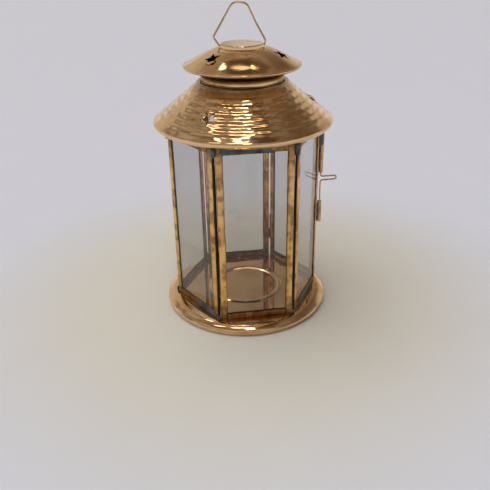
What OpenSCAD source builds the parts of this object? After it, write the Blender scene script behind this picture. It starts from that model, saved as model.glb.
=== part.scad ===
// Ship lantern: a small six-sided glass tea light lantern of folded and spun brass sheet.
// Millimetres, Z up, origin at the middle of the underside, front towards -Y.

/* [Base] */
// Largest diameter of the spun base, at its rim
base_d = 90; // [70:1:120]
// Height of the floor and of the ledge that carries the cage
floor_h = 5.8; // [4:0.1:10]
// Diameter of the raised ring that keeps the tea light in the middle
seat_ring_d = 38.3; // [36:0.1:46]
// Thickness of all the spun sheet
sheet_t = 0.3; // [0.25:0.05:0.8]

/* [Cage] */
// Distance from the middle of the cage to each corner of the hexagon
cage_r = 40.2; // [30:0.1:60]
// Height of the six glazed panels
cage_h = 94.2; // [60:0.1:140]
// Angle that the front panel is turned away from the front
cage_turn = 8; // [-30:1:30]
// Distance that the hand soldered cage sits off the axis, along X
cage_shift = 0.6; // [0:0.1:2]
// Width of the folded strips that frame the glass
strip_w = 3.5; // [2:0.1:8]
// Thickness of the strip metal
strip_t = 0.25; // [0.2:0.05:0.8]
// Width of the slit between two panels, on the inside of a corner
corner_slit = 0.5; // [0.2:0.1:2]
// Thickness of the glass
glass_t = 1; // [0.8:0.1:3]

/* [Roof] */
// Largest diameter of the roof, at its rim
roof_d = 91; // [70:1:130]
// Height of the roof from the cage up to the ring around the neck
roof_h = 22; // [12:0.5:40]
// Number of ribs pressed into the cone
rib_count = 6; // [0:1:10]
// Height of the ribs
rib_h = 0.5; // [0:0.05:1]
// Outer diameter of the neck between the roof and the dome
neck_d = 40.7; // [30:0.1:60]
// Largest diameter of the dome, at its rim
dome_d = 58.5; // [40:0.5:90]
// Height of the dome's rim above the cage
dome_lift = 29.65; // [24:0.05:50]
// Height of the dome
dome_h = 8.75; // [5:0.05:20]
// Diameter of the flat cap on top of the dome
cap_d = 21; // [14:0.5:40]
// Height of the flat cap
cap_h = 1.66; // [1.5:0.02:5]
// Distance from the middle of a star shaped vent to its points
star_r = 4.6; // [2:0.1:6]

/* [Bail] */
// Diameter of the bail's wire
bail_wire_d = 0.9; // [0.6:0.05:3]
// Height of the bail above its pivot, to the middle of the wire
bail_h = 18.55; // [12:0.5:60]

/* [Door and latch] */
// Gap above and below the door
door_gap = 0.45; // [0.2:0.05:1]
// Outer diameter of the hinge and latch tubes
tube_d = 2.3; // [1.6:0.1:5]
// Diameter of the latch wire and of the hinge pin
pin_d = 0.84; // [0.5:0.02:2]
// Distance that the finger loop of the latch stands out from its tubes
loop_reach = 8.7; // [5:0.1:20]

/* [Which piece] */
// Piece to draw, or all of them

/* [Hidden] */
$fn = 48;
round_fn = 144;

// Fit between a wire and the bore that it turns in, on the radius
running_fit = 0.05;

// Cage: six panels around a hexagon, standing on the floor of the base
cage_sides = 6;
cage_top = floor_h + cage_h;
apothem = cage_r * cos(180 / cage_sides);
panel_t = glass_t + 2 * running_fit + 2 * strip_t;
end_pull = (corner_slit / 2 + panel_t / 2) / sin(60);
panel_w = cage_r - 2 * end_pull;
glass_inset = strip_t + 0.2;

// Azimuth of the middle of each panel, and of the corners that matter, from the front
front_side = cage_turn;
right_side = cage_turn + 60;
door_side = cage_turn + 120;
back_side = cage_turn + 180;
rear_left_side = cage_turn + 240;
left_side = cage_turn + 300;
latch_corner = cage_turn + 90;
hinge_corner = cage_turn + 150;

// Roof and dome levels
rim_z = cage_top + 4.4;
collar_z = cage_top + roof_h;
dome_z = cage_top + dome_lift;
cap_z = dome_z + dome_h;
neck_r = neck_d / 2;

// Bail pivot, in the wall of the cap
pivot_z = cap_z + 0.8;
bail_r = bail_wire_d / 2;

// Tubes stand this far out from the corner of the hexagon
tube_out = 0.9;
bore_d = pin_d + 2 * running_fit;
loop_z = 67.95;
loop_gap = 2.1;
upper_tube_z = 71.4;
upper_tube_l = 27.2;
lower_tube_z = 42.5;
lower_tube_l = 12.2;

brass = [0.83, 0.62, 0.28];
dark_brass = [0.62, 0.42, 0.18];
glass_tint = [0.85, 0.9, 0.88, 0.35];
solder_grey = [0.45, 0.47, 0.5];

// ---------- profiles and wires ----------

function unit(v) = v / norm(v);

function left_of(v) = [-v[1], v[0]];

// Direction across a path at its point i, towards the inside of the sheet
function inward(path, i) =
    let (last = len(path) - 1, a = path[max(i - 1, 0)], b = path[min(i + 1, last)])
    left_of(unit(b - a));

// Closed outline of a sheet of thickness t, with its outer face along the path
function sheet_outline(path, t) = concat(
    path,
    [for (i = [len(path) - 1 : -1 : 0]) path[i] + t * inward(path, i)]
);

// A spun part, its path read from the outside and below to the inside and above
module spun(path, t = sheet_t) {
    rotate_extrude($fn = round_fn) polygon(sheet_outline(path, t));
}

// Bend at the corner b of the path a, b, c: middle, the two points where it starts and ends
function bend(a, b, c, r) =
    let (
        u = unit(a - b),
        v = unit(c - b),
        half = acos(u * v) / 2,
        reach = r / tan(half)
    )
    [b + unit(u + v) * (r / sin(half)), b + u * reach, b + v * reach];

function heading(v) = atan2(v[1], v[0]);

// Turn from one heading to another, between -180 and 180
function turn(from, to) = (to - from + 540) % 360 - 180;

// Round rod between two points of the XZ plane, run on a little way past its ends
module rod(a, b, d, before = 0, after = 0) {
    way = unit(b - a);
    from = a - way * before;
    translate([from[0], 0, from[1]])
        rotate([0, atan2(way[0], way[1]), 0])
            cylinder(d = d, h = norm(b - a) + before + after);
}

// Bent rod around a middle in the XZ plane, from one point to another
module bent_rod(middle, from, to, d) {
    first = heading(from - middle);
    sweep = turn(first, heading(to - middle));
    translate([middle[0], 0, middle[1]]) rotate([90, 0, 0]) rotate([0, 0, sweep > 0 ? first : first + sweep])
        rotate_extrude(angle = abs(sweep)) translate([norm(from - middle), 0]) circle(d = d);
}

// Round wire in the XZ plane along straight runs, each corner bent to its own radius.
// The bends are a hair thicker than the runs, whose ends are buried in them.
module wire(corners, radii, d) {
    last = len(corners) - 1;
    bends = [for (i = [1 : last - 1]) bend(corners[i - 1], corners[i], corners[i + 1], radii[i - 1])];
    for (one = bends) bent_rod(one[0], one[1], one[2], d + bend_extra);
    rod(corners[0], bends[0][1], d, 0, buried);
    for (i = [1 : last - 2]) rod(bends[i - 1][2], bends[i][1], d, buried, buried);
    rod(bends[last - 2][2], corners[last], d, buried, 0);
}

bend_extra = 0.012;
buried = 0.05;

// ---------- places ----------

// Frame of one panel: X along it, Y inwards from its outer face
module on_side(azimuth) {
    translate([cage_shift, 0, floor_h]) rotate([0, 0, azimuth]) translate([0, -apothem, 0]) children();
}

// Frame of one corner of the cage: X along the azimuth, Y inwards
module on_corner(azimuth) {
    translate([cage_shift, 0, 0]) rotate([0, 0, azimuth]) translate([0, -cage_r, 0]) children();
}

// ---------- base ----------

module base_dish() {
    rim = base_d / 2;
    ring = seat_ring_d / 2;
    color(brass) spun([
        [rim - 3.5, 0], [rim - 1.5, 0], [rim - 1.1, 0.4], [rim - 0.75, 1.5], [rim - 0.6, 2.2],
        [rim - 0.1, 2.45], [rim, 2.75], [rim - 0.15, 3.05], [rim - 0.8, 3.7], [rim - 1.9, 4.5],
        [rim - 3.3, 5.2], [rim - 5, 5.65], [rim - 7, floor_h],
        [ring + 1.6, floor_h], [ring + 0.8, floor_h + 0.4], [ring, floor_h + 0.6],
        [ring - 0.8, floor_h + 0.4], [ring - 1.6, floor_h], [0, floor_h]
    ]);
}

// ---------- roof, neck, dome and cap ----------

// Height of the ribbed cone at the radius r
function cone_z(r) =
    let (
        run = r - (neck_r + 2.75),
        length = roof_d / 2 - 0.5 - (neck_r + 2.75),
        share = run / length,
        wave = (r - rib_start) / rib_pitch
    )
    collar_z - 0.1 - (collar_z - 0.1 - rim_z) * (1.13 * share - 0.13 * share * share)
        + (wave > 0 && wave < rib_count ? rib_h * (1 - cos(360 * wave)) / 2 : 0);

rib_start = neck_r + 5.05;
rib_pitch = 2.9;
rib_steps = 8;

// One star, cut square through a sheet that slopes down away from the axis
module star_cut(azimuth, r, z, slope, spin) {
    rotate([0, 0, azimuth]) translate([0, -r, z]) rotate([slope, 0, 0])
        linear_extrude(height = 6, center = true)
            polygon([for (k = [0 : 9])
                (k % 2 == 0 ? star_r : star_r * 0.43) * [sin(36 * k + spin), cos(36 * k + spin)]]);
}

// Small tongue of sheet that the punch left standing above a vent
module vent_tongue(azimuth) {
    rotate([0, 0, azimuth]) translate([0, -roof_star_r + 2.3, cone_z(roof_star_r - 2.3) - 0.35])
        rotate([0, -90, 180]) translate([-4, 0, -0.6])
            rotate_extrude(angle = 72) translate([4, 0]) square([0.3, 1.2]);
}

roof_star_r = 34.7;
roof_star_turn = -27;
dome_star_r = dome_d / 2 - 9.7;
dome_star_turn = -46;

module roof() {
    rim = roof_d / 2;
    top = neck_r + 0.3;
    cone_end = neck_r + 2.75;
    color(brass) {
        difference() {
            spun(concat(
                [
                    [rim - 12, cage_top], [rim - 5.1, cage_top], [rim - 4.4, cage_top + 0.4],
                    [rim - 2.2, cage_top + 1.1], [rim - 0.9, cage_top + 1.8],
                    [rim - 0.2, cage_top + 2.7], [rim, cage_top + 3.5], [rim - 0.15, cage_top + 4.1]
                ],
                [for (k = [0 : rib_count * rib_steps + 4])
                    let (r = rim - 0.5 - (rim - 0.5 - cone_end) * k / (rib_count * rib_steps + 4))
                    [r, cone_z(r)]],
                [
                    [top + 2.35, collar_z + 0.6], [top + 1.85, collar_z + 1.1],
                    [top + 1.15, collar_z + 1.3], [top + 0.45, collar_z + 1.1],
                    [top, collar_z + 0.6], [top, collar_z - 0.6]
                ]
            ));
            for (k = [0 : 2])
                star_cut(roof_star_turn + 120 * k, roof_star_r, cone_z(roof_star_r), 39, 31);
        }
        vent_tongue(roof_star_turn + 120);
    }
}

module neck() {
    color(brass) spun([
        [neck_r, collar_z - 1.6], [neck_r, collar_z + 1.2], [neck_r + 0.3, collar_z + 2.9],
        [neck_r + 1, collar_z + 4.3], [neck_r + 2.9, collar_z + 5.5], [neck_r + 5.4, collar_z + 6.4],
        [neck_r + 7, dome_z - sheet_t], [dome_d / 2 - 0.6, dome_z - sheet_t]
    ]);
}

// Line of solder in the groove between the neck and the roof's ring
module neck_solder() {
    color(solder_grey) rotate_extrude($fn = round_fn) polygon([
        [neck_r + 0.01, collar_z + 0.7], [neck_r + 0.28, collar_z + 0.7],
        [neck_r + 0.62, collar_z + 1.32], [neck_r + 0.2, collar_z + 1.7], [neck_r + 0.11, collar_z + 1.7]
    ]);
}

module dome() {
    rim = dome_d / 2;
    shoulder = cap_d / 2 + 0.4;
    color(brass) difference() {
        spun([
            [rim - 1.4, dome_z], [rim - 0.25, dome_z], [rim, dome_z + 0.35], [rim - 0.15, dome_z + 0.75],
            [rim - 1.3, dome_z + 1.1], [rim - 3.9, dome_z + 2.1], [rim - 6.4, dome_z + 3.4],
            [rim - 9.25, dome_z + 4.85], [rim - 12.25, dome_z + 6.4], [rim - 15.35, dome_z + 7.75],
            [rim - 17.1, dome_z + 8.35], [shoulder, cap_z], [shoulder - 2.6, cap_z]
        ]);
        for (k = [0 : 2])
            star_cut(dome_star_turn + 120 * k, dome_star_r, dome_z + 5.1, 27, 39);
    }
}

module cap() {
    wall = cap_d / 2;
    color(brass) difference() {
        spun([[wall, cap_z], [wall, cap_z + cap_h - 0.35], [wall - 0.35, cap_z + cap_h], [0, cap_z + cap_h]]);
        translate([-wall - 1, 0, pivot_z])
            rotate([0, 90, 0])
                cylinder(r = bail_r + running_fit, h = 2 * wall + 2);
    }
}

// ---------- bail ----------

// Corners of the bent wire, from one foot inside the cap over the top to the other foot
bail_corners = [
    [-8.2, 0], [-11, 0], [-13.7, 3.8], [-4, bail_h + 0.9], [2.6, bail_h + 0.2],
    [6.6, 10.4], [11.3, 2.1], [11.05, 0], [8.2, 0]
];
bail_radii = [0.6, 1.2, 3.9, 3.7, 12, 0.6, 0.55];

module bail() {
    color(brass) translate([0, 0, pivot_z]) wire(bail_corners, bail_radii, bail_wire_d);
}

// ---------- glazed panels ----------

// Folded strip of length l, standing along Z, with its web at the left end of the X axis
module channel(l) {
    linear_extrude(height = l) difference() {
        square([strip_w, panel_t]);
        translate([strip_t, strip_t]) square([strip_w, panel_t - 2 * strip_t]);
    }
}

// Height of a panel and its distance above the floor of the base
function panel_h(is_door) = is_door ? cage_h - 2 * door_gap : cage_h;
function panel_lift(is_door) = is_door ? door_gap : 0;

module stile(azimuth, side, is_door = false) {
    color(brass) on_side(azimuth) translate([0, 0, panel_lift(is_door)]) mirror([side > 0 ? 1 : 0, 0, 0])
        translate([-panel_w / 2, 0, 0]) channel(panel_h(is_door));
}

module rail(azimuth, at_top, is_door = false) {
    span = panel_w - 2 * strip_w;
    color(brass) on_side(azimuth) translate([0, 0, panel_lift(is_door) + (at_top ? panel_h(is_door) : 0)])
        mirror([0, 0, at_top ? 1 : 0])
            translate([-span / 2, 0, 0]) multmatrix([[0, 0, 1, 0], [0, 1, 0, 0], [1, 0, 0, 0]]) channel(span);
}

module pane(azimuth, is_door = false) {
    color(glass_tint) on_side(azimuth)
        translate([-panel_w / 2 + glass_inset, strip_t + running_fit, panel_lift(is_door) + strip_t])
            cube([panel_w - 2 * glass_inset, glass_t, panel_h(is_door) - 2 * strip_t - 0.2]);
}

// ---------- tubes, hinge pin and latch ----------

// Tube on a corner, with the solder wing that holds it to the strip on one side of the corner
module corner_tube(azimuth, z, l, side) {
    on_corner(azimuth) translate([0, 0, z]) difference() {
        union() {
            translate([0, -tube_out, 0]) cylinder(d = tube_d, h = l);
            linear_extrude(height = l) polygon([
                [0, -tube_out], [side * 1.05, -1.35], [side * (corner_x + 1.3), corner_y + 0.75],
                [side * corner_x, corner_y]
            ]);
        }
        translate([0, -tube_out, -1]) cylinder(d = bore_d, h = l + 2);
    }
}

// Outer edge of a strip, seen from the corner of the hexagon beside it
corner_x = end_pull * sin(60);
corner_y = end_pull * cos(60);

hinge_l = 8;
hinge_play = 0.3;
hinge_low = 16;
hinge_high = 82;

module frame_tubes() {
    color(dark_brass) {
        corner_tube(hinge_corner, hinge_low, hinge_l, 1);
        corner_tube(hinge_corner, hinge_high, hinge_l, 1);
    }
}

module door_tubes() {
    color(dark_brass) {
        corner_tube(hinge_corner, hinge_low + hinge_l + hinge_play, hinge_l, -1);
        corner_tube(hinge_corner, hinge_high - hinge_l - hinge_play, hinge_l, -1);
    }
}

module hinge_pin() {
    color(brass) on_corner(hinge_corner) translate([0, -tube_out, hinge_low - 0.8])
        cylinder(d = pin_d, h = hinge_high + hinge_l - hinge_low + 1.6);
}

module latch_tube_upper() {
    color(brass) corner_tube(latch_corner, upper_tube_z, upper_tube_l, -1);
}

module latch_tube_lower() {
    color(brass) corner_tube(latch_corner, lower_tube_z, lower_tube_l, -1);
}

// Wire that turns in both tubes, bent between them into a loop for a finger
module latch_wire() {
    low = loop_z - loop_gap / 2;
    high = loop_z + loop_gap / 2;
    color(brass) on_corner(latch_corner) translate([0, -tube_out, 0]) rotate([0, 0, -90])
        wire(
            [
                [0, lower_tube_z + 1.2], [0, low], [loop_reach, low],
                [loop_reach, high], [0, high], [0, upper_tube_z + 12.6]
            ],
            [1.3, 1.02, 1.02, 1.3],
            pin_d
        );
}

// ---------- solder ----------

// Solid blocks that the panels fill, to trim the solder with
module panel_blocks() {
    for (k = [0 : cage_sides - 1])
        on_side(cage_turn + 60 * k)
            translate([-panel_w / 2, 0, -1])
                cube([panel_w, panel_t, cage_h + 2]);
}

// Row of low solder blobs on the outer face of a panel
module solder_row(azimuth, x0, x1, z, r) {
    count = ceil((x1 - x0) / (1.3 * r));
    on_side(azimuth) difference() {
        for (k = [0 : count])
            translate([x0 + (x1 - x0) * k / count, 0.72 * r + 0.25 * (k % 2), z - floor_h]) sphere(r = r);
        translate([x0 - 2 * r, 0, z - floor_h - 2 * r]) cube([x1 - x0 + 4 * r, 3 * r, 4 * r]);
    }
}

// Solder in the groove of a corner, thick at one level and run out thin at another
module solder_corner(azimuth, thick_z, thin_z, r) {
    rises = thick_z < thin_z;
    on_corner(azimuth) translate([0, 0.2, min(thick_z, thin_z)])
        cylinder(h = abs(thick_z - thin_z), r1 = rises ? r : 0.6 * r, r2 = rises ? 0.6 * r : r);
}

module solder_joints() {
    color(solder_grey) {
        solder_row(left_side, 0, 15, floor_h + 2.3, 2.2);
        solder_row(front_side, -15, 8, cage_top - 2.2, 2.1);
        solder_row(right_side, -12, 12, floor_h + 2.3, 2.2);
        solder_row(back_side, -12, 10, cage_top - 2.2, 2.1);
        solder_row(rear_left_side, -8, 8, floor_h + 2.3, 2.2);
        difference() {
            union() {
                solder_corner(front_side + 30, cage_top, cage_top - 5, 1.7);
                solder_corner(left_side - 30, cage_top, cage_top - 4, 1.6);
                solder_corner(left_side + 30, floor_h, floor_h + 3, 1.6);
                solder_corner(left_side + 30, cage_top, cage_top - 3, 1.6);
                solder_corner(back_side + 30, cage_top, cage_top - 3, 1.6);
            }
            panel_blocks();
        }
    }
}

// ---------- pieces ----------

base_dish();
roof();
neck();
neck_solder();
dome();
cap();
bail();

pane(front_side);  // front_glass
stile(front_side, -1);  // front_stile_left
stile(front_side, 1);  // front_stile_right
rail(front_side, true);  // front_rail_top
rail(front_side, false);  // front_rail_bottom

pane(right_side);  // right_glass
stile(right_side, -1);  // right_stile_left
stile(right_side, 1);  // right_stile_right
rail(right_side, true);  // right_rail_top
rail(right_side, false);  // right_rail_bottom

pane(back_side);  // back_glass
stile(back_side, -1);  // back_stile_left
stile(back_side, 1);  // back_stile_right
rail(back_side, true);  // back_rail_top
rail(back_side, false);  // back_rail_bottom

pane(rear_left_side);  // rear_left_glass
stile(rear_left_side, -1);  // rear_left_stile_left
stile(rear_left_side, 1);  // rear_left_stile_right
rail(rear_left_side, true);  // rear_left_rail_top
rail(rear_left_side, false);  // rear_left_rail_bottom

pane(left_side);  // left_glass
stile(left_side, -1);  // left_stile_left
stile(left_side, 1);  // left_stile_right
rail(left_side, true);  // left_rail_top
rail(left_side, false);  // left_rail_bottom

pane(door_side, true);  // door_glass
stile(door_side, -1, true);  // door_stile_left
stile(door_side, 1, true);  // door_stile_right
rail(door_side, true, true);  // door_rail_top
rail(door_side, false, true);  // door_rail_bottom

door_tubes();
frame_tubes();
hinge_pin();
latch_tube_upper();
latch_tube_lower();
latch_wire();
solder_joints();
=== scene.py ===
"""Ship lantern: the spun, folded, bent and soldered pieces of a six-sided tea light lantern.

Shapes are worked out in millimetres, as the lantern maker would give them, and become metres as their
meshes are made. Azimuths are turned from the front (-Y) towards the right (+X), in degrees.
"""

import logging
import math
from collections.abc import Callable
from dataclasses import dataclass, field
from enum import Enum

import bmesh
import bpy
import numpy as np
from mathutils import Matrix, Vector


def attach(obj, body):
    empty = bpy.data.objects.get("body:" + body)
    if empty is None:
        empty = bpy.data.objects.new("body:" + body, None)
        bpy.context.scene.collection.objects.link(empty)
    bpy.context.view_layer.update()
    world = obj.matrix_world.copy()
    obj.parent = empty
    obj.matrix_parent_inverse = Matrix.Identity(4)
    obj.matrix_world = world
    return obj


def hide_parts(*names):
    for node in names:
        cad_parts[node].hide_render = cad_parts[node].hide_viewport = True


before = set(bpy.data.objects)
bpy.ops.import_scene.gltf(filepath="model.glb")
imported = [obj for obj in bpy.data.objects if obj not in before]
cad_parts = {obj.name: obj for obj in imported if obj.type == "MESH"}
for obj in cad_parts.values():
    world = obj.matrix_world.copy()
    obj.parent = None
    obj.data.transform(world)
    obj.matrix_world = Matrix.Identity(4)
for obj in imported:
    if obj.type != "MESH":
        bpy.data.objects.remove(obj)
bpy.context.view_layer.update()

LOG = logging.getLogger("ship_lantern")
MM = 0.001
Array = np.ndarray


# ---------------------------------------------------------------- shapes


def resample(points: Array, spacing: float) -> Array:
    """Even steps along a polyline: each coordinate is interpolated over the distance walked.

    Args:
        points: corners, one per row.
        spacing: distance between two steps.

    Returns:
        The steps, first and last corner included.
    """
    runs = np.linalg.norm(np.diff(points, axis=0), axis=1)
    walked = np.concatenate([[0.0], np.cumsum(runs)])
    steps = np.linspace(0.0, walked[-1], max(3, int(walked[-1] / spacing) + 1))
    return np.stack([np.interp(steps, walked, points[:, k]) for k in range(points.shape[1])], axis=1)


def soften(points: Array, spacing: float, reach: float) -> Array:
    """Rounds the corners of a polyline: even steps, averaged with a bell-shaped weight of width reach.

    The ends are carried on by point reflection, so they stay where they are.

    Args:
        points: corners, one per row.
        spacing: distance between two steps.
        reach: width of the bell, about the radius of a rounded corner.

    Returns:
        The rounded steps.
    """
    steps = resample(points, spacing)
    half = max(1, int(3 * reach / spacing))
    bell = np.exp(-0.5 * (np.arange(-half, half + 1) * spacing / reach) ** 2)
    bell /= bell.sum()
    half = min(half, len(steps) - 1)
    centre = len(bell) // 2
    bell = bell[centre - half: centre + half + 1]
    bell = bell / bell.sum()
    before = 2 * steps[0] - steps[half:0:-1]
    after = 2 * steps[-1] - steps[-2:-half - 2:-1]
    padded = np.concatenate([before, steps, after])
    return np.stack([np.convolve(padded[:, k], bell, mode="valid") for k in range(steps.shape[1])], axis=1)


def bent(corners: Array, radii: tuple[float, ...], spacing: float) -> Array:
    """Straight runs whose corners are bent to their own radii, in even steps.

    A bend of radius r at a corner with half angle h starts and ends r / tan h from the corner, around a middle
    that is r / sin h along the line that halves it.

    Args:
        corners: corners in a plane, one per row.
        radii: a radius for each corner but the first and the last.
        spacing: distance between two steps.

    Returns:
        The steps.
    """
    runs = [corners[:1]]
    for before, corner, after, radius in zip(corners[:-2], corners[1:-1], corners[2:], radii):
        u, v = (one / np.linalg.norm(one) for one in (before - corner, after - corner))
        half = math.acos(float(np.clip(u @ v, -1, 1))) / 2
        middle = corner + (u + v) / np.linalg.norm(u + v) * radius / math.sin(half)
        first, last = (corner + one * radius / math.tan(half) - middle for one in (u, v))
        start = math.atan2(first[1], first[0])
        swing = (math.atan2(last[1], last[0]) - start + 3 * math.pi) % (2 * math.pi) - math.pi
        turn = start + swing * np.linspace(0, 1, max(4, int(abs(swing) * radius / spacing) + 2))
        runs.append(middle + radius * np.stack([np.cos(turn), np.sin(turn)], 1))
    return resample(np.concatenate([*runs, corners[-1:]]), spacing)


def thickened(path: Array, thickness: float) -> Array:
    """Closed outline of a sheet: the path, then the same path moved to its left by the thickness, run back."""
    ahead = np.gradient(path, axis=0)
    ahead /= np.linalg.norm(ahead, axis=1, keepdims=True)
    return np.concatenate([path, (path + thickness * np.stack([-ahead[:, 1], ahead[:, 0]], axis=1))[::-1]])


def sheet_loop(path: Array, thickness: float) -> Array:
    """The same for a turned sheet: where the path meets the axis, so does its inner skin."""
    loop = thickened(path, thickness)
    loop[:, 0] = np.where(np.concatenate([path, path[::-1]])[:, 0] <= 1e-9, 0.0, np.maximum(loop[:, 0], 0.0))
    return loop


def grid_quads(rows: int, columns: int, rows_closed: bool, columns_closed: bool) -> Array:
    """Four-sided faces of a grid of rows by columns, joined up across either seam if it is closed."""
    row = np.arange(rows if rows_closed else rows - 1)
    column = np.arange(columns if columns_closed else columns - 1)
    i, j = np.meshgrid(row, column, indexing="ij")
    after_i, after_j = (i + 1) % rows, (j + 1) % columns
    return np.stack(
        [i * columns + j, i * columns + after_j, after_i * columns + after_j, after_i * columns + j], axis=-1
    ).reshape(-1, 4)


@dataclass(frozen=True)
class Unevenness:
    """What a hand leaves in metal: a sum of a few long waves around and along a surface.

    Attributes:
        depth: largest offset in millimetres.
        seed: picks the waves.
        around: most waves in one turn.
        along: shortest wave along the surface, in millimetres.
    """

    depth: float
    seed: int
    around: int = 7
    along: float = 12.0

    def at(self, angle: Array, way: Array) -> Array:
        """Offset at an angle (radians) and a way along: a sum of a cos(m angle + k way + phase)."""
        draw = np.random.default_rng(self.seed)
        count = 9
        turns = draw.integers(1, self.around + 1, count)
        rates = draw.uniform(-1.0, 1.0, count) * 2 * math.pi / self.along
        phases = draw.uniform(0, 2 * math.pi, count)
        shares = draw.uniform(0.4, 1.0, count)
        total = sum(
            share * np.cos(turn * angle + rate * way + phase)
            for share, turn, rate, phase in zip(shares, turns, rates, phases)
        )
        return self.depth * total / shares.sum()


def mesh_from(
        name: str, points: Array, faces: list, weld: bool = False,
        inside: Array | None = None) -> bpy.types.Mesh:
    """A mesh from points in millimetres.

    Args:
        name: name of the mesh.
        points: one point per row.
        faces: lists of point numbers.
        weld: merge points that coincide, as at a pole, and turn all faces outwards.
        inside: for each point, its share of painted shade, 1 on inner skins; kept as an attribute.

    Returns:
        The mesh, in metres.
    """
    mesh = bpy.data.meshes.new(name)
    mesh.from_pydata((points * MM).tolist(), [], [list(map(int, one)) for one in faces])
    # The attribute carries painted shade: the finishes turn it near black.
    if inside is not None:
        mesh.attributes.new("inside", "FLOAT", "POINT").data.foreach_set("value", inside.astype(np.float32))
    if weld:
        work = bmesh.new()
        work.from_mesh(mesh)
        bmesh.ops.remove_doubles(work, verts=work.verts, dist=1e-7)
        bmesh.ops.dissolve_degenerate(work, edges=work.edges, dist=1e-8)
        bmesh.ops.recalc_face_normals(work, faces=work.faces)
        work.to_mesh(mesh)
        work.free()
    mesh.update()
    return mesh


def paint_shade(mesh: bpy.types.Mesh, share: Callable[[Array, Array], Array]) -> None:
    """Adds painted shade: a share, by radius and height in millimetres, added to a mesh's inside attribute, up to 1.

    Args:
        mesh: a mesh that has the attribute.
        share: gives the share of each point.
    """
    points = np.empty(len(mesh.vertices) * 3, np.float32)
    mesh.vertices.foreach_get("co", points)
    x, y, z = points.reshape(-1, 3).T / MM
    values = np.empty(len(mesh.vertices), np.float32)
    store = mesh.attributes["inside"].data
    store.foreach_get("value", values)
    store.foreach_set("value", np.clip(values + share(np.hypot(x, y), z), 0, 1).astype(np.float32))


def lathe(
        name: str, loop: Array, turns: int, uneven: tuple[Unevenness, ...],
        steady: tuple[float, float]) -> bpy.types.Mesh:
    """Turns a closed outline around the axis: x = (r + u) sin a, y = -(r + u) cos a, z = h + u / 2.

    Args:
        name: name of the mesh.
        loop: outline as radius and height, a closed loop; its second half is the inner skin.
        turns: points in one turn.
        uneven: hand-made unevenness, summed to u, the same for both faces of the sheet.
        steady: radius and height where the unevenness has died away, outwards and downwards.

    Returns:
        A closed mesh.
    """
    angle = np.linspace(0, 2 * math.pi, turns, endpoint=False)
    r, h = loop[:, :1], loop[:, 1:]
    calm = np.clip((steady[0] - r) / 2.0, 0, 1) * np.clip((h - steady[1]) / 2.0, 0, 1) * np.clip(r / 6.0, 0, 1)
    offset = sum(one.at(angle[None, :], r - h) for one in uneven) * calm
    radius, height = r + offset, h + 0.5 * offset
    level = np.broadcast_to(height, radius.shape)
    points = np.stack([radius * np.sin(angle), -radius * np.cos(angle), level], -1)
    quads = grid_quads(len(loop), turns, True, True)
    # Painted shade: the inner skin is fully marked, so it takes the near-black shade colour.
    inside = np.repeat((np.arange(len(loop)) >= len(loop) // 2).astype(float), turns)
    return mesh_from(name, points.reshape(-1, 3), quads, weld=True, inside=inside)


def sweep(name: str, path: Array, radius: Array | float, sides: int, across: Array) -> bpy.types.Mesh:
    """Round wire along a path: p + R (cos a n + sin a b), n held across the bend plane and b = t x n.

    Args:
        name: name of the mesh.
        path: points along the middle of the wire.
        radius: one radius, or one for each point.
        sides: points around the wire.
        across: direction at right angles to the plane that the wire is bent in.

    Returns:
        A closed mesh with flat ends.
    """
    ahead = np.gradient(path, axis=0)
    ahead /= np.linalg.norm(ahead, axis=1, keepdims=True)
    n = np.broadcast_to(across, ahead.shape)
    b = np.cross(ahead, n)
    angle = np.linspace(0, 2 * math.pi, sides, endpoint=False)
    reach = np.broadcast_to(radius, (len(path),))[:, None, None]
    ring = np.cos(angle)[None, :, None] * n[:, None, :] + np.sin(angle)[None, :, None] * b[:, None, :]
    points = (path[:, None, :] + reach * ring).reshape(-1, 3)
    count = len(path) * sides
    faces = grid_quads(len(path), sides, False, True).tolist()
    faces += [list(range(sides))[::-1], list(range(count - sides, count))]
    return mesh_from(name, points, faces, weld=True)


def turned(points: Array, azimuth: float, middle: tuple[float, float] = (0.0, 0.0)) -> Array:
    """Points turned about the Z axis by an azimuth in degrees, then moved to the middle."""
    a = math.radians(azimuth)
    matrix = np.array([[math.cos(a), -math.sin(a), 0], [math.sin(a), math.cos(a), 0], [0, 0, 1]])
    return points @ matrix.T + np.array([middle[0], middle[1], 0.0])


# ---------------------------------------------------------------- shader groups


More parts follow.
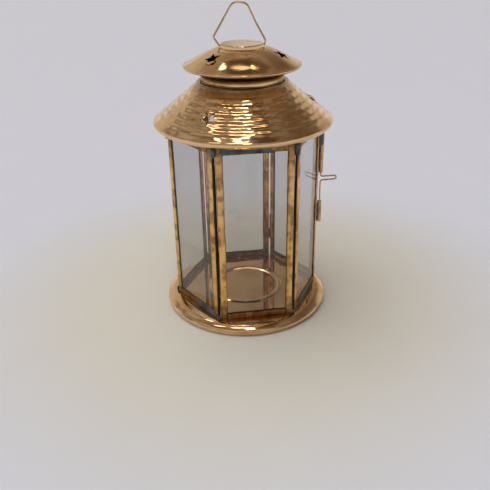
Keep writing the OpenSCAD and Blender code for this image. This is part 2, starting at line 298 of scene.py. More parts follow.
class Nodes:
    """Short hand for laying out a node tree."""

    def __init__(self, tree: bpy.types.NodeTree) -> None:
        """Keeps the tree that the nodes go into."""
        self.tree = tree

    def add(self, kind: str, **settings: object) -> bpy.types.Node:
        """Adds a node; each setting is an input (by name, underscores for spaces) or else a property.

        Args:
            kind: the node's type name.
            settings: a value or an output socket for each input, or a property's value.

        Returns:
            The node.
        """
        node = self.tree.nodes.new(kind)
        inputs = {k: v for k, v in settings.items() if k[0].isupper()}
        for key, value in settings.items():
            if key not in inputs:
                setattr(node, key, value)
        for key, value in inputs.items():
            self.feed(node, key.replace("_", " "), value)
        return node

    def feed(self, node: bpy.types.Node, name: str, value: object) -> None:
        """Links or sets the first enabled input of that name, or of that number if the name is digits."""
        if name.startswith("In") and name[2:].isdigit():
            socket = node.inputs[int(name[2:])]
        else:
            socket = next(s for s in node.inputs if s.name == name and s.enabled)
        if isinstance(value, bpy.types.NodeSocket):
            self.tree.links.new(value, socket)
        else:
            socket.default_value = value

    def maths(self, operation: str, a: object, b: object = 0.0, clamp: bool = False) -> bpy.types.NodeSocket:
        """A Math node's output."""
        return self.add("ShaderNodeMath", operation=operation, use_clamp=clamp, In0=a, In1=b).outputs[0]

    def span(
            self, value: object, low: float, high: float, to_low: float, to_high: float) -> bpy.types.NodeSocket:
        """A value mapped smoothly from one range to another."""
        node = self.add("ShaderNodeMapRange", interpolation_type="SMOOTHSTEP")
        names = ("Value", "From Min", "From Max", "To Min", "To Max")
        for key, one in zip(names, (value, low, high, to_low, to_high)):
            self.feed(node, key, one)
        return node.outputs["Result"]

    def mix(self, share: object, a: object, b: object) -> bpy.types.NodeSocket:
        """A mix of two colours."""
        node = self.add("ShaderNodeMix", data_type="RGBA")
        self.feed(node, "Factor", share)
        self.feed(node, "A", a)
        self.feed(node, "B", b)
        return next(s for s in node.outputs if s.enabled)

    def group(self, tree: bpy.types.NodeTree, **values: object) -> bpy.types.Node:
        """Places a node group with its own values."""
        node = self.tree.nodes.new("ShaderNodeGroup")
        node.node_tree = tree
        for key, value in values.items():
            self.feed(node, key.replace("_", " "), value)
        return node


def new_group(name: str, inputs: dict[str, tuple[str, float | None]], outputs: dict[str, str]) -> tuple[
        Nodes, bpy.types.Node, bpy.types.Node]:
    """An empty node group with named sockets.

    Args:
        name: the group's name.
        inputs: socket type and default value, or None, of each input.
        outputs: socket type of each output.

    Returns:
        The group's nodes, its input node and its output node.
    """
    tree = bpy.data.node_groups.new(name, "ShaderNodeTree")
    for key, (kind, value) in inputs.items():
        socket = tree.interface.new_socket(key, in_out="INPUT", socket_type=kind)
        if value is not None:
            socket.default_value = value
    for key, kind in outputs.items():
        tree.interface.new_socket(key, in_out="OUTPUT", socket_type=kind)
    return Nodes(tree), tree.nodes.new("NodeGroupInput"), tree.nodes.new("NodeGroupOutput")


NUMBER, VECTOR = "NodeSocketFloat", "NodeSocketVector"


class Effects:
    """The shader groups that several finishes share, each built once."""

    def __init__(self) -> None:
        """Builds every group."""
        self.tarnish = self._tarnish()
        self.heat = self._heat()
        self.lathe_marks = self._lathe_marks()
        self.drawn_marks = self._drawn_marks()
        self.smears = self._smears()

    @staticmethod
    def _tarnish() -> bpy.types.NodeTree:
        """Cloudy patches of tarnish: broad noise times finer noise, cut at a cover."""
        n, start, end = new_group(
            "tarnish_patches",
            {"Vector": (VECTOR, None), "Size": (NUMBER, 90.0), "Cover": (NUMBER, 0.5),
             "Strength": (NUMBER, 1.0)},
            {"Mask": NUMBER},
        )
        way = start.outputs["Vector"]
        broad = n.add("ShaderNodeTexNoise", Vector=way, Scale=start.outputs["Size"], Detail=4.0)
        finer = n.maths("MULTIPLY", start.outputs["Size"], 5.3)
        fine = n.add("ShaderNodeTexNoise", Vector=way, Scale=finer, Detail=6.0, Roughness=0.65).outputs[0]
        both = n.maths("ADD", n.maths("MULTIPLY", broad.outputs[0], 0.7), n.maths("MULTIPLY", fine, 0.3))
        gate = n.maths("SUBTRACT", 1.0, start.outputs["Cover"])
        cut = n.maths("MULTIPLY", n.maths("SUBTRACT", both, n.maths("MULTIPLY", gate, 0.9)), 4.0, clamp=True)
        n.feed(end, "Mask", n.maths("MULTIPLY", cut, start.outputs["Strength"], clamp=True))
        return n.tree

    @staticmethod
    def _heat() -> bpy.types.NodeTree:
        """Staining where strips were soldered: it fades raggedly with the distance from two levels."""
        n, start, end = new_group(
            "heat_stain",
            {"Vector": (VECTOR, None), "Low": (NUMBER, 0.006), "High": (NUMBER, 0.1), "Reach": (NUMBER, 0.012),
             "Strength": (NUMBER, 1.0)},
            {"Mask": NUMBER},
        )
        height = n.add("ShaderNodeSeparateXYZ", Vector=start.outputs["Vector"]).outputs["Z"]
        noise = n.add("ShaderNodeTexNoise", Vector=start.outputs["Vector"], Scale=260.0, Detail=5.0).outputs[0]
        below = n.maths("ABSOLUTE", n.maths("SUBTRACT", height, start.outputs["Low"]))
        above = n.maths("ABSOLUTE", n.maths("SUBTRACT", height, start.outputs["High"]))
        near = n.maths("DIVIDE", n.maths("MINIMUM", below, above), start.outputs["Reach"])
        ragged = n.maths("ADD", near, n.maths("MULTIPLY", n.maths("SUBTRACT", noise, 0.5), 1.6))
        mask = n.span(ragged, 0.15, 1.0, 1.0, 0.0)
        n.feed(end, "Mask", n.maths("MULTIPLY", mask, start.outputs["Strength"], clamp=True))
        return n.tree

    @staticmethod
    def _lathe_marks() -> bpy.types.NodeTree:
        """Fine rings that a spinning tool leaves: noise read by radius and height, and hardly by angle."""
        n, start, end = new_group(
            "lathe_marks", {"Vector": (VECTOR, None), "Rings": (NUMBER, 1500.0)}, {"Height": NUMBER}
        )
        split = n.add("ShaderNodeSeparateXYZ", Vector=start.outputs["Vector"])
        flat = n.add("ShaderNodeCombineXYZ", X=split.outputs["X"], Y=split.outputs["Y"])
        radius = n.add("ShaderNodeVectorMath", operation="LENGTH", In0=flat.outputs[0]).outputs["Value"]
        angle = n.maths("MULTIPLY", n.maths("ARCTAN2", split.outputs["X"], split.outputs["Y"]), 0.0004)
        read = n.add("ShaderNodeCombineXYZ", X=radius, Y=angle, Z=split.outputs["Z"])
        noise = n.add("ShaderNodeTexNoise", Vector=read.outputs[0], Scale=start.outputs["Rings"], Detail=3.0)
        n.feed(end, "Height", noise.outputs[0])
        return n.tree

    @staticmethod
    def _drawn_marks() -> bpy.types.NodeTree:
        """Lines along drawn or rolled metal: noise squeezed along the height."""
        n, start, end = new_group(
            "drawn_marks", {"Vector": (VECTOR, None), "Lines": (NUMBER, 2200.0)}, {"Height": NUMBER}
        )
        way = start.outputs["Vector"]
        squeezed = n.add("ShaderNodeVectorMath", operation="MULTIPLY", In0=way, In1=(1, 1, 0.04)).outputs[0]
        lines = n.add("ShaderNodeTexNoise", Vector=squeezed, Scale=start.outputs["Lines"], Detail=2.0)
        dents = n.add("ShaderNodeTexNoise", Vector=way, Scale=210.0, Detail=2.0)
        n.feed(end, "Height", n.maths("ADD", n.maths("MULTIPLY", lines.outputs[0], 0.25), dents.outputs[0]))
        return n.tree

    @staticmethod
    def _smears() -> bpy.types.NodeTree:
        """Finger smears and dried wipe marks: noise bent by slower noise, kept where it is high."""
        n, start, end = new_group(
            "smears", {"Vector": (VECTOR, None), "Size": (NUMBER, 60.0), "Cover": (NUMBER, 0.45)},
            {"Mask": NUMBER}
        )
        way = start.outputs["Vector"]
        slow = n.add("ShaderNodeTexNoise", Vector=way, Scale=start.outputs["Size"], Detail=2.0)
        bent_way = n.add("ShaderNodeVectorMath", operation="MULTIPLY_ADD", In0=slow.outputs["Color"],
                         In1=(0.02,) * 3, In2=way)
        finer = n.maths("MULTIPLY", start.outputs["Size"], 4.0)
        fine = n.add("ShaderNodeTexNoise", Vector=bent_way.outputs[0], Scale=finer, Detail=5.0)
        both = n.maths("MULTIPLY", slow.outputs[0], fine.outputs[0])
        low = n.maths("SUBTRACT", 0.55, n.maths("MULTIPLY", start.outputs["Cover"], 0.6))
        mask = n.maths("MULTIPLY", n.maths("SUBTRACT", both, low), 5.0, clamp=True)
        n.feed(end, "Mask", mask)
        return n.tree


# ---------------------------------------------------------------- finishes


class Marks(Enum):
    """What worked the metal last."""

    SPUN = "lathe_marks"
    DRAWN = "drawn_marks"


def new_material(name: str) -> tuple[bpy.types.Material, Nodes, bpy.types.Node, bpy.types.NodeSocket]:
    """An empty material: itself, its nodes, its output node and the Object coordinates."""
    material = bpy.data.materials.new(name)
    material.use_nodes = True
    material.node_tree.nodes.clear()
    n = Nodes(material.node_tree)
    out = n.add("ShaderNodeOutputMaterial")
    place = n.add("ShaderNodeTexCoord").outputs["Object"]
    return material, n, out, place


@dataclass(frozen=True)
class Brass:
    """Polished brass that has begun to tarnish.

    Attributes:
        name: the material's name.
        bright: colour of the clean metal.
        dull: colour of the tarnish.
        stain: colour where it was heated.
        smooth: roughness of the clean metal.
        rough: roughness of the tarnish.
        cover: share of the surface that is tarnished.
        heat: strength of the heat stain.
        marks: tool marks.
        relief: strength of the tool marks.
        streaks: strength of dark streaks along the marks.
        inner: near-black colour of painted shade, laid on inner skins and where the mesh marks shade.
    """

    name: str
    bright: tuple[float, float, float]
    dull: tuple[float, float, float]
    stain: tuple[float, float, float] = (0.11, 0.055, 0.025)
    smooth: float = 0.1
    rough: float = 0.3
    cover: float = 0.4
    heat: float = 0.0
    marks: Marks = Marks.SPUN
    relief: float = 0.05
    streaks: float = 0.0
    inner: tuple[float, float, float] = (0.05, 0.032, 0.02)

    def material(self, effects: Effects) -> bpy.types.Material:
        """Lays out the material: tarnish, then heat stain, over the metal, then painted shade where the mesh marks
        it, with tool marks as bump.
        """
        material, n, out, place = new_material(self.name)
        patches = n.group(effects.tarnish, Vector=place, Size=75.0, Cover=self.cover, Strength=0.85).outputs[0]
        heat = n.group(effects.heat, Vector=place, Strength=self.heat).outputs[0]
        smears = n.group(effects.smears, Vector=place, Size=110.0, Cover=0.5).outputs[0]
        colour = n.mix(patches, (*self.bright, 1), (*self.dull, 1))
        colour = n.mix(heat, colour, (*self.stain, 1))
        rough = n.maths("ADD", self.smooth, n.maths("MULTIPLY", patches, self.rough - self.smooth))
        rough = n.maths("ADD", rough, n.maths("MULTIPLY", smears, 0.05))
        rough = n.maths("ADD", rough, n.maths("MULTIPLY", heat, 0.22))
        streak = n.group(effects.drawn_marks, Vector=place, Lines=800.0).outputs[0]
        colour = n.mix(n.span(streak, 0.56, 0.78, 0.0, self.streaks), colour, (*self.stain, 1))
        # Painted shade: the inner colour, and more roughness, where the mesh marks shade.
        inner = n.add("ShaderNodeAttribute", attribute_name="inside").outputs["Fac"]
        colour = n.mix(inner, colour, (*self.inner, 1))
        rough = n.maths("ADD", rough, n.maths("MULTIPLY", inner, 0.3))
        tree = effects.lathe_marks if self.marks is Marks.SPUN else effects.drawn_marks
        height = n.group(tree, Vector=place).outputs[0]
        bump = n.add("ShaderNodeBump", Strength=self.relief, Distance=0.0002, Height=height)
        surface = n.add("ShaderNodeBsdfPrincipled", Base_Color=colour, Metallic=1.0, Roughness=rough,
                        Normal=bump.outputs[0])
        n.feed(out, "Surface", surface.outputs[0])
        return material


@dataclass(frozen=True)
class Solder:
    """Soft solder: dull grey tin, darkened by flux."""

    name: str = "tin_solder"
    tin: tuple[float, float, float] = (0.125, 0.135, 0.15)
    flux: tuple[float, float, float] = (0.014, 0.014, 0.016)
    cover: float = 0.5

    def material(self, effects: Effects) -> bpy.types.Material:
        """Lays out the material: flux stains over tin, painted shade in near black where the mesh marks it, and a
        lumpy bump.
        """
        material, n, out, place = new_material(self.name)
        stains = n.group(effects.tarnish, Vector=place, Size=170.0, Cover=self.cover).outputs[0]
        colour = n.mix(stains, (*self.tin, 1), (*self.flux, 1))
        # Painted shade: near black where the mesh marks it, as on the lower half of the neck's bead and on the
        # corner beads.
        shaded = n.add("ShaderNodeAttribute", attribute_name="inside").outputs["Fac"]
        colour = n.mix(shaded, colour, (0.012, 0.009, 0.007, 1))
        rough = n.span(stains, 0.0, 1.0, 0.32, 0.6)
        lumps = n.add("ShaderNodeTexNoise", Vector=place, Scale=700.0, Detail=4.0).outputs[0]
        bump = n.add("ShaderNodeBump", Strength=0.35, Distance=0.0003, Height=lumps)
        surface = n.add("ShaderNodeBsdfPrincipled", Base_Color=colour, Metallic=0.75, Roughness=rough,
                        Normal=bump.outputs[0])
        n.feed(out, "Surface", surface.outputs[0])
        return material


@dataclass(frozen=True)
class PaneGlass:
    """Clear sheet glass with smears; light for shadows goes straight through."""

    name: str = "pane_glass"
    tint: tuple[float, float, float] = (0.78, 0.775, 0.755)

    def material(self, effects: Effects) -> bpy.types.Material:
        """Lays out the material: glass for sight, and clear for shadow rays."""
        material, n, out, place = new_material(self.name)
        smears = n.group(effects.smears, Vector=place, Size=45.0, Cover=0.42).outputs[0]
        rough = n.maths("MULTIPLY", smears, 0.16)
        colour = n.mix(smears, (*self.tint, 1), (0.72, 0.71, 0.69, 1))
        glass = n.add("ShaderNodeBsdfPrincipled", Base_Color=colour, Metallic=0.0, Roughness=rough,
                      Transmission_Weight=1.0, IOR=1.45)
        clear = n.add("ShaderNodeBsdfTransparent", Color=(0.93, 0.93, 0.92, 1))
        shadow = n.add("ShaderNodeLightPath").outputs["Is Shadow Ray"]
        surface = n.add("ShaderNodeMixShader", In0=shadow, In1=glass.outputs[0], In2=clear.outputs[0])
        n.feed(out, "Surface", surface.outputs[0])
        return material


class Finishes:
    """Every finish of the lantern, by the record's material slots."""

    def __init__(self) -> None:
        """Builds the materials."""
        effects = Effects()
        self.spun = Brass("spun_brass", (0.90, 0.62, 0.34), (0.60, 0.33, 0.13), smooth=0.04, rough=0.17,
                          cover=0.44, relief=0.04).material(effects)
        self.strip = Brass("strip_brass", (0.93, 0.56, 0.2), (0.46, 0.19, 0.05), smooth=0.1, rough=0.3,
                           cover=0.5, heat=0.75, marks=Marks.DRAWN, relief=0.25, streaks=0.6).material(effects)
        self.wire = Brass("wire_brass", (0.72, 0.5, 0.25), (0.4, 0.25, 0.11), smooth=0.22, rough=0.36,
                          cover=0.45, marks=Marks.DRAWN, relief=0.1).material(effects)
        self.tube = Brass("tube_brass", (0.74, 0.5, 0.22), (0.3, 0.18, 0.08), smooth=0.22, rough=0.4,
                          cover=0.55, heat=0.6, marks=Marks.DRAWN, relief=0.12).material(effects)
        self.solder = Solder().material(effects)
        self.glass = PaneGlass().material(effects)


# ---------------------------------------------------------------- placing pieces


def place_piece(mesh: bpy.types.Mesh, material: bpy.types.Material, body: str,
                nodes: tuple[str, ...] = (), crease: float = 38.0) -> bpy.types.Object:
    """Makes an object of a mesh, shades it smooth up to a crease angle and ties it to the frame.

    Args:
        mesh: the finished mesh, in metres; the object takes its name.
        material: the finish.
        body: the CAD body that the piece rides on.
        nodes: the CAD nodes that it stands for.
        crease: angle, in degrees, past which an edge stays sharp.

    Returns:
        The object.
    """
    mesh.materials.clear()
    mesh.materials.append(material)
    mesh.polygons.foreach_set("use_smooth", np.ones(len(mesh.polygons), bool))
    mesh.set_sharp_from_angle(angle=math.radians(crease))
    piece = bpy.data.objects.new(mesh.name, mesh)
    bpy.context.scene.collection.objects.link(piece)
    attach(piece, body)
    if nodes:
        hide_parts(*nodes)
    LOG.info("%s: %d faces, rides on %s", mesh.name, len(mesh.polygons), body)
    return piece


def cut_away(mesh: bpy.types.Mesh, cutter: bpy.types.Mesh) -> bpy.types.Mesh:
    """The mesh with the cutter's volume taken out of it."""
    target = bpy.data.objects.new(mesh.name, mesh)
    tool = bpy.data.objects.new("cutter", cutter)
    for one in (target, tool):
        bpy.context.scene.collection.objects.link(one)
    modifier = target.modifiers.new("cut", "BOOLEAN")
    modifier.operation, modifier.solver, modifier.object = "DIFFERENCE", "EXACT", tool
    graph = bpy.context.evaluated_depsgraph_get()
    made = bpy.data.meshes.new_from_object(target.evaluated_get(graph))
    name = mesh.name
    for one in (target, tool):
        bpy.data.objects.remove(one)
    mesh.name = name + "_blank"
    made.name = name
    return made


def bar_mesh(outline: Array, low: float, high: float, place: Array) -> tuple[Array, list]:
    """Points and faces of a straight bar: an outline in XY, carried along Z and placed by a matrix."""
    count = len(outline)
    ends = [np.column_stack([outline, np.full(count, z)]) for z in (low, high)]
    points = np.concatenate(ends) @ place[:3, :3].T + place[:3, 3]
    faces = grid_quads(2, count, False, True).tolist()
    faces += [list(range(count))[::-1], list(range(count, 2 * count))]
    return points, faces


def joined(name: str, parts: list[tuple[Array, list]]) -> bpy.types.Mesh:
    """One mesh of several sets of points and faces."""
    points, faces, base = [], [], 0
    for some, sides in parts:
        points.append(some)
        faces += [[base + k for k in one] for one in sides]
        base += len(some)
    return mesh_from(name, np.concatenate(points), faces, weld=True)


# ---------------------------------------------------------------- the lantern


@dataclass(frozen=True)
class Star:
    """A five-pointed vent.

    Attributes:
        azimuth: where it is around the lantern.
        radius: distance of its middle from the axis.
        height: height of its middle.
        slope: fall of the sheet there, in degrees.
        reach: distance from its middle to a point.
        spin: turn of the star in its own plane.
        waist: distance from its middle to an inner corner, as a share of the reach.
    """

    azimuth: float
    radius: float
    height: float
    slope: float
    reach: float = 4.6
    spin: float = 39.0
    waist: float = 0.43

    def frame(self) -> Array:
        """Place of the star: a matrix whose Z axis stands square on the sheet."""
        out = Matrix.Translation((0, -self.radius, self.height))
        middle = Matrix.Rotation(math.radians(self.azimuth), 4, "Z") @ out
        return np.array(middle @ Matrix.Rotation(math.radians(self.slope), 4, "X"))

    def cutter(self) -> tuple[Array, list]:
        """A bar of the star's outline, its points by turns at the reach and at the waist's share of it."""
        k = np.arange(10)
        far = np.where(k % 2 == 0, self.reach, self.waist * self.reach)
        angle = np.radians(36 * k + self.spin)
        outline = np.stack([far * np.sin(angle), far * np.cos(angle)], 1)[::-1]
        return bar_mesh(outline, -3, 3, self.frame())

    def petal(self, point: int, width: float, radius: float, lift: float, curl: float, back: float = 0.0,
              inwards: bool = False) -> tuple[Array, list]:
        """A tongue that the punch left at an inner corner of the star: a tapering strip rolled through an arc.

        At the angle t along the arc it has gone R (sin l + sin(t - l)) along the sheet and
        R (cos(t - l) - cos l) up from it, where l is the lift.

        Args:
            point: which inner corner it stands at.
            width: its width at the root.
            radius: radius R of the roll.
            lift: angle at which it leaves the sheet, in degrees.
            curl: how far it is rolled over, in degrees.
            back: how far its root is set back from the corner.
            inwards: whether it goes over the hole, and not away from it.

        Returns:
            Points and faces.
        """
        along, over = np.meshgrid(np.linspace(0, 1, 18), np.linspace(-1, 1, 9), indexing="ij")
        rise_angle = math.radians(lift)
        roll = math.radians(curl) * along
        half = width / 2 * (1 - 0.8 * along ** 2)
        skins = []
        for reach in (radius + 0.12, radius - 0.12):
            out = radius * math.sin(rise_angle) + reach * np.sin(roll - rise_angle)
            rise = reach * np.cos(roll - rise_angle) - radius * math.cos(rise_angle)
            skins.append(np.stack([over * half, out, rise + 0.1 * over ** 2], -1).reshape(-1, 3))
        points = np.concatenate(skins)
        root = self.waist * self.reach + back
        hand = -1.0 if inwards else 1.0
        points[:, 1] = root + hand * points[:, 1]
        a = math.radians(36 * (2 * point + 1) + self.spin)
        spin = np.array([[math.cos(a), -math.sin(a), 0], [math.sin(a), math.cos(a), 0], [0, 0, 1]])
        points = points @ spin @ self.frame()[:3, :3].T + self.frame()[:3, 3]
        rows, columns = along.shape
        lower = grid_quads(rows, columns, False, False)
        upper = lower[:, ::-1] + rows * columns
        rim = np.concatenate([np.arange(columns), np.arange(1, rows) * columns + columns - 1,
                              (rows - 1) * columns + np.arange(columns - 2, -1, -1),
                              np.arange(rows - 2, 0, -1) * columns])
        after = np.roll(rim, -1)
        wall = np.stack([rim, after, after + rows * columns, rim + rows * columns], 1)
        return points, np.concatenate([lower, upper, wall]).tolist()


@dataclass
class SpunSheets:
    """The spun pieces: base dish, roof, neck, dome and cap.

    Attributes:
        base_r: radius of the base.
        floor: height of the base's floor.
        ring_r: radius of the ring around the tea light.
        cage_top: height of the top of the panels.
        roof_r: radius of the roof.
        collar: height of the ring around the neck.
        neck_r: radius of the neck.
        dome_r: radius of the dome.
        dome_z: height of the dome's rim.
        cap_r: radius of the cap.
        cap_z: height of the foot of the cap.
        cap_h: height of the cap.
        sheet: thickness of the sheet.
        ribs: how many ribs the roof has.
        rib_pitch: distance between two ribs.
        rib_h: height of a rib.
    """

    base_r: float = 45.0
    floor: float = 5.8
    ring_r: float = 19.15
    cage_top: float = 100.0
    roof_r: float = 45.5
    collar: float = 122.0
    neck_r: float = 20.35
    dome_r: float = 29.25
    dome_z: float = 129.65
    cap_r: float = 10.5
    cap_z: float = 138.4
    cap_h: float = 1.66
    sheet: float = 0.3
    ribs: int = 6
    rib_pitch: float = 2.9
    rib_h: float = 0.36

    def base(self, finish: Finishes) -> None:
        """The dish: foot, skirt, rim, convex shoulder, flat floor and raised ring."""
        rim, ring, floor = self.base_r - 0.02, self.ring_r, self.floor
        path = np.array([
            (rim - 3.5, 0), (rim - 1.5, 0), (rim - 1.05, 0.4), (rim - 0.72, 1.5), (rim - 0.62, 2.15),
            (rim - 0.15, 2.4), (rim, 2.75), (rim - 0.15, 3.1), (rim - 0.8, 3.75), (rim - 1.9, 4.5),
            (rim - 3.3, 5.2), (rim - 5, 5.62), (rim - 7, floor), (ring + 1.7, floor), (ring + 0.8, floor + 0.42),
            (ring, floor + 0.62), (ring - 0.8, floor + 0.42), (ring - 1.7, floor), (0, floor),
        ])
        loop = sheet_loop(soften(path, 0.28, 0.22), self.sheet)
        loop[:, 1] = np.maximum(loop[:, 1], 0.0)
        mesh = lathe("base_dish_spun", loop, 240, (Unevenness(0.1, 3, 6, 18.0), Unevenness(0.03, 33, 24, 8.0)),
                     (rim - 0.6, 1.2))
        place_piece(mesh, finish.spun, "lantern", ("base_dish",))

    def cone_height(self, r: Array) -> Array:
        """Height of the ribbed cone: a slightly hollow fall from the ring to the rim, plus raised cosines."""
        start, end = self.neck_r + 2.75, self.roof_r - 0.5
        share = (r - start) / (end - start)
        rim_z = self.cage_top + 4.4
        fall = (self.collar - 0.1 - rim_z) * (1.13 * share - 0.13 * share ** 2)
        wave = (r - self.neck_r - 5.05) / self.rib_pitch
        shape = 0.5 - 0.5 * np.cos(2 * math.pi * wave)
        rib = np.where((wave > 0) & (wave < self.ribs), self.rib_h * shape, 0.0)
        return self.collar - 0.1 - fall + rib

    def roof_stars(self) -> list[Star]:
        """The three vents in the roof."""
        r = 34.7
        height = float(self.cone_height(np.array(r)))
        return [Star(azimuth, r, height, 39.0, spin=31.0) for azimuth in (-27.0, 93.0, 213.0)]

    def dome_stars(self) -> list[Star]:
        """The three vents in the dome."""
        return [Star(azimuth, self.dome_r - 9.7, self.dome_z + 5.6, 27.0) for azimuth in (-46.0, 74.0, 194.0)]

    def roof(self, finish: Finishes) -> None:
        """The roof: lip, rolled rim, ribbed cone, ring around the neck, and its vents."""
        rim, top, z = self.roof_r - 0.02, self.neck_r + 0.3, self.cage_top
        radii = np.linspace(rim - 0.5, self.neck_r + 2.75, 130)
        below = [(rim - 12, z), (rim - 5.1, z), (rim - 4.4, z + 0.4), (rim - 2.2, z + 1.1), (rim - 0.9, z + 1.8),
                 (rim - 0.2, z + 2.7), (rim, z + 3.5), (rim - 0.15, z + 4.1)]
        above = [(top + 2.35, self.collar + 0.25), (top + 1.85, self.collar + 0.55), (top + 1.15, self.collar + 0.7),
                 (top + 0.45, self.collar + 0.55), (top, self.collar + 0.25), (top, self.collar - 0.6)]
        path = np.concatenate([below, np.stack([radii, self.cone_height(radii)], 1), above])
        loop = sheet_loop(soften(path, 0.26, 0.2), self.sheet)
        mesh = lathe("roof_spun", loop, 260, (Unevenness(0.2, 11, 9, 18.0), Unevenness(0.14, 12, 38, 6.0)),
                     (rim - 0.8, z + 0.5))
        # Painted shade on the roof around the neck, where it lies under the dome.
        paint_shade(mesh, lambda r, z: 0.4 * np.clip((self.neck_r + 6.5 - r) / 3, 0, 1))
        stars = self.roof_stars()
        mesh = cut_away(mesh, joined("roof_stars", [s.cutter() for s in stars]))
        place_piece(mesh, finish.spun, "lantern", ("roof",))
        petals = [stars[0].petal(3, 2.4, 0.7, 50, 100), stars[0].petal(4, 2.2, 1.9, 0, 65, inwards=True),
                  stars[1].petal(4, 1.3, 4.0, 39, 72, back=0.75, inwards=True),
                  stars[2].petal(2, 2.4, 0.8, 50, 90)]
        place_piece(joined("roof_vent_petals", petals), finish.spun, "lantern")

    def neck(self, finish: Finishes) -> None:
        """The neck: a short tube that flares to meet the dome."""
        r, c = self.neck_r, self.collar
        path = np.array([(r, c - 1.6), (r, c + 1.2), (r + 0.3, c + 2.9), (r + 1, c + 4.3), (r + 2.9, c + 5.5),
                         (r + 5.4, c + 6.4), (r + 7, self.dome_z - 0.32), (self.dome_r - 0.6, self.dome_z - 0.32)])
        loop = sheet_loop(soften(path, 0.22, 0.5), self.sheet)
        mesh = lathe("neck_spun", loop, 200, (Unevenness(0.1, 5, 6, 10.0),), (self.dome_r - 1, c - 3))
        # Painted shade on the neck's flare, under the dome.
        paint_shade(mesh, lambda r, z: 0.55 * np.clip((z - c - 2.0) / 1.5, 0, 1))
        place_piece(mesh, finish.spun, "lantern", ("neck",))
        turn = np.linspace(0, 2 * math.pi, 28, endpoint=False)
        ring = np.stack([r + 0.2 + 0.24 * np.cos(turn), c + 0.72 + 0.3 * np.sin(turn)], 1)
        # Lathe marks the lower half of the bead's ring as inner skin, so that half takes the painted shade.
        bead = lathe("neck_solder_line", ring, 220, (Unevenness(0.3, 8, 31, 3.0),), (60.0, 0.0))
        place_piece(bead, finish.solder, "lantern", ("neck_solder",))

    def dome(self, finish: Finishes) -> None:
        """The dome, turned over at its rim, its side swollen by 2.2 s (1 - s), and its vents."""
        rim, z, shoulder = self.dome_r - 0.02, self.dome_z, self.cap_r + 0.15
        path = np.array([
            (rim - 1.4, z), (rim - 0.25, z), (rim, z + 0.35), (rim - 0.15, z + 0.75), (rim - 1.3, z + 1.15),
            (rim - 3.9, z + 2.15), (rim - 6.4, z + 3.45), (rim - 9.25, z + 4.9), (rim - 12.25, z + 6.4),
            (rim - 15.35, z + 7.75), (rim - 17.1, z + 8.35), (shoulder, self.cap_z), (shoulder - 2.6, self.cap_z),
        ])
        share = np.clip((rim - 1.3 - path[:, 0]) / (rim - 1.3 - shoulder), 0, 1)
        path[:, 1] += 2.2 * share * (1 - share)
        fine = np.concatenate([soften(path[:5], 0.2, 0.12), soften(path[4:], 0.22, 1.1)[1:]])
        uneven = (Unevenness(0.07, 21, 6, 18.0), Unevenness(0.025, 22, 20, 8.0))
        mesh = lathe("dome_spun", sheet_loop(fine, self.sheet), 240, uneven, (rim - 0.5, z - 3))
        stars = self.dome_stars()
        mesh = cut_away(mesh, joined("dome_stars", [s.cutter() for s in stars]))
        place_piece(mesh, finish.spun, "lantern", ("dome",))
        petals = [stars[0].petal(1, 5.0, 2.4, 34, 60, back=0.3), stars[2].petal(3, 2.2, 1.2, 50, 70)]
        place_piece(joined("dome_vent_petals", petals), finish.spun, "lantern")

    def cap(self, finish: Finishes) -> None:
        """The flat cap, its wall pierced for the bail."""
        wall, z, top = self.cap_r, self.cap_z, self.cap_z + self.cap_h - 0.01
        path = np.array([(wall, z), (wall, top - 0.35), (wall - 0.35, top), (0, top)])
        loop = sheet_loop(soften(path, 0.12, 0.1), self.sheet)
        mesh = lathe("cap_spun", loop, 160, (Unevenness(0.07, 4, 5, 9.0),), (wall - 0.2, z))
        turn = np.linspace(0, 2 * math.pi, 24, endpoint=False)
        hole = 0.5 * np.stack([np.cos(turn), np.sin(turn)], 1)
        across = np.array(Matrix.Translation((0, 0, z + 0.8)) @ Matrix.Rotation(math.pi / 2, 4, "Y"))
        mesh = cut_away(mesh, joined("cap_holes", [bar_mesh(hole, -wall - 1, wall + 1, across)]))
        place_piece(mesh, finish.spun, "lantern", ("cap",))

    def build(self, finish: Finishes) -> None:
        """Makes every spun piece."""
        for make in (self.base, self.roof, self.neck, self.dome, self.cap):
            make(finish)


class Side(Enum):
    """The panels, by the azimuth of their middle."""

    FRONT = 8.0
    RIGHT = 68.0
    DOOR = 128.0
    BACK = 188.0
    REAR_LEFT = 248.0
    LEFT = 308.0

    @property
    def node(self) -> str:
        """First part of the names of the panel's nodes."""
        return self.name.lower()

    @property
    def body(self) -> str:
        """The body that the panel rides on."""
        return "door" if self is Side.DOOR else "lantern"


